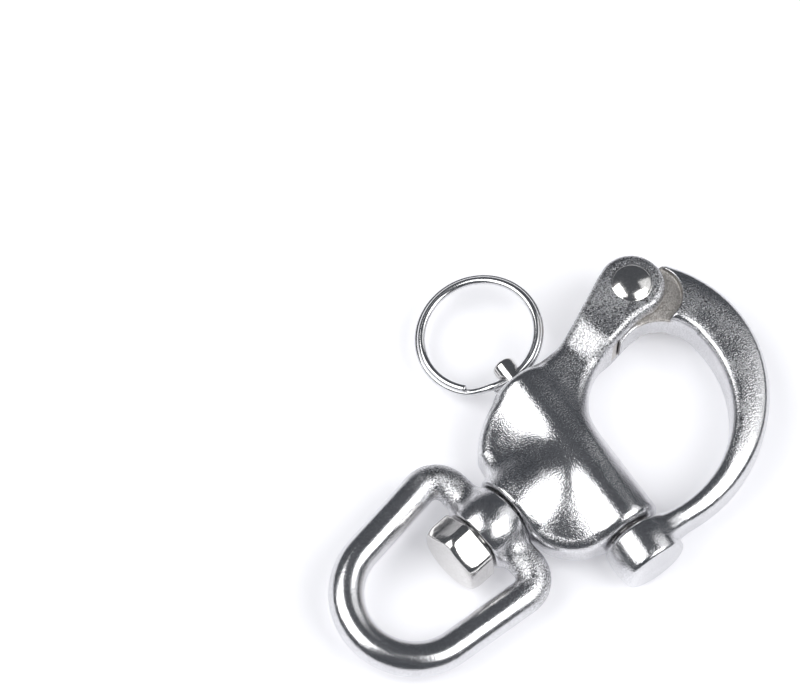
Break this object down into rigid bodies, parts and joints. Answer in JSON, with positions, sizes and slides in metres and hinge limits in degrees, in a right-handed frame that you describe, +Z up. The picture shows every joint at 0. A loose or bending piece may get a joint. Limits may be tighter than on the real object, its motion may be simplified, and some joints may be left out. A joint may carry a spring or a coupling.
{
  "type": "swivel eye snap shackle",
  "caption": "Snap shackle with a swivel eye: a hinged curved jaw is held shut by a sprung plunger with a split pull ring.",
  "frame": {"origin": "under the centre of the shackle's box, in the plane it lies on, so the part stands on Z = 0 lying flat", "axes": "+X from the swivel eye towards the jaw's bow, +Y along the plunger from its locking end towards the pull ring, +Z up, square to the shackle's flat mid-plane, which is at Z = 5.1 mm"},
  "size_m": [0.0696, 0.0492, 0.0102],
  "materials": {
    "cast_steel": "investment-cast 316 stainless steel, tumbled to a satin shine with a fine grain left in the hollows",
    "turned_steel": "turned stainless steel, polished",
    "ring_wire": "bright drawn stainless spring wire",
    "spring_wire": "drawn stainless spring wire"
  },
  "bodies": {
    "body_casting": {"body": "cast_steel", "hinge_rivet": "turned_steel", "plunger_spring": "spring_wire", "swivel_bolt": "turned_steel"},
    "jaw": {"jaw": "cast_steel"},
    "plunger": {"plunger": "turned_steel"},
    "ring": {"pull_ring": "ring_wire"},
    "eye": {"swivel_eye": "cast_steel"}
  },
  "joints": [
    {"name": "jaw_hinge", "type": "hinge", "parent": "body_casting", "child": "jaw", "pos_m": [0.02443, 0.00908, 0.0051], "axis": [0, 0, 1], "range_deg": [0, 110]},
    {"name": "plunger_slide", "type": "slide", "parent": "body_casting", "child": "plunger", "axis": [0, 1, 0], "range_m": [0, 0.006], "stiffness_N_per_m": 900, "springref_m": -0.004, "deforming": ["plunger_spring"]},
    {"name": "ring_swing", "type": "hinge", "parent": "plunger", "child": "ring", "pos_m": [0.00433, 0.00788, 0.0051], "axis": [0.9781, 0, 0.2079], "range_deg": [-60, 60]},
    {"name": "swivel", "type": "hinge", "parent": "body_casting", "child": "eye", "pos_m": [-0.01046, -0.0079, 0.0051], "axis": [0.9863, 0.165, 0], "continuous": true}
  ]
}
